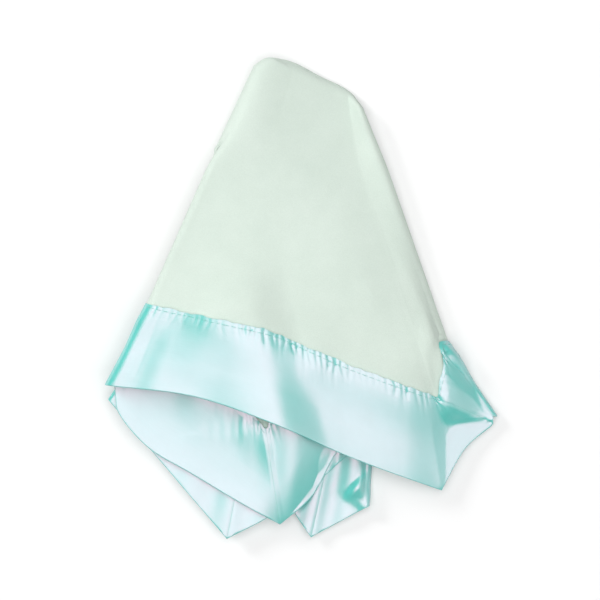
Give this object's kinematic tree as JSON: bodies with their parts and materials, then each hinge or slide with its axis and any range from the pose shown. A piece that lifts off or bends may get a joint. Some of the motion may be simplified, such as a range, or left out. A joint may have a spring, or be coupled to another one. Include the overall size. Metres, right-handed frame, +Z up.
{
  "type": "comfort blanket",
  "caption": "Square two-ply plush comfort blanket with a folded satin binding, gathered near its centre and laid down in soft folds.",
  "frame": {"origin": "centre of the bounding box in plan, at the underside that lies on the surface", "axes": "+Z up off the surface, +Y from the fanned satin hems towards the gathered rounded top, +X to the right in plan"},
  "size_m": [0.2214, 0.2712, 0.032],
  "materials": {
    "plush": "matte, very short dense pile",
    "satin": "soft gloss woven satin"
  },
  "bodies": {
    "root": {"plush_face": "plush", "plush_back": "plush", "satin_binding_front": "satin", "satin_binding_left": "satin", "satin_binding_rear": "satin", "satin_binding_right": "satin"}
  },
  "joints": []
}
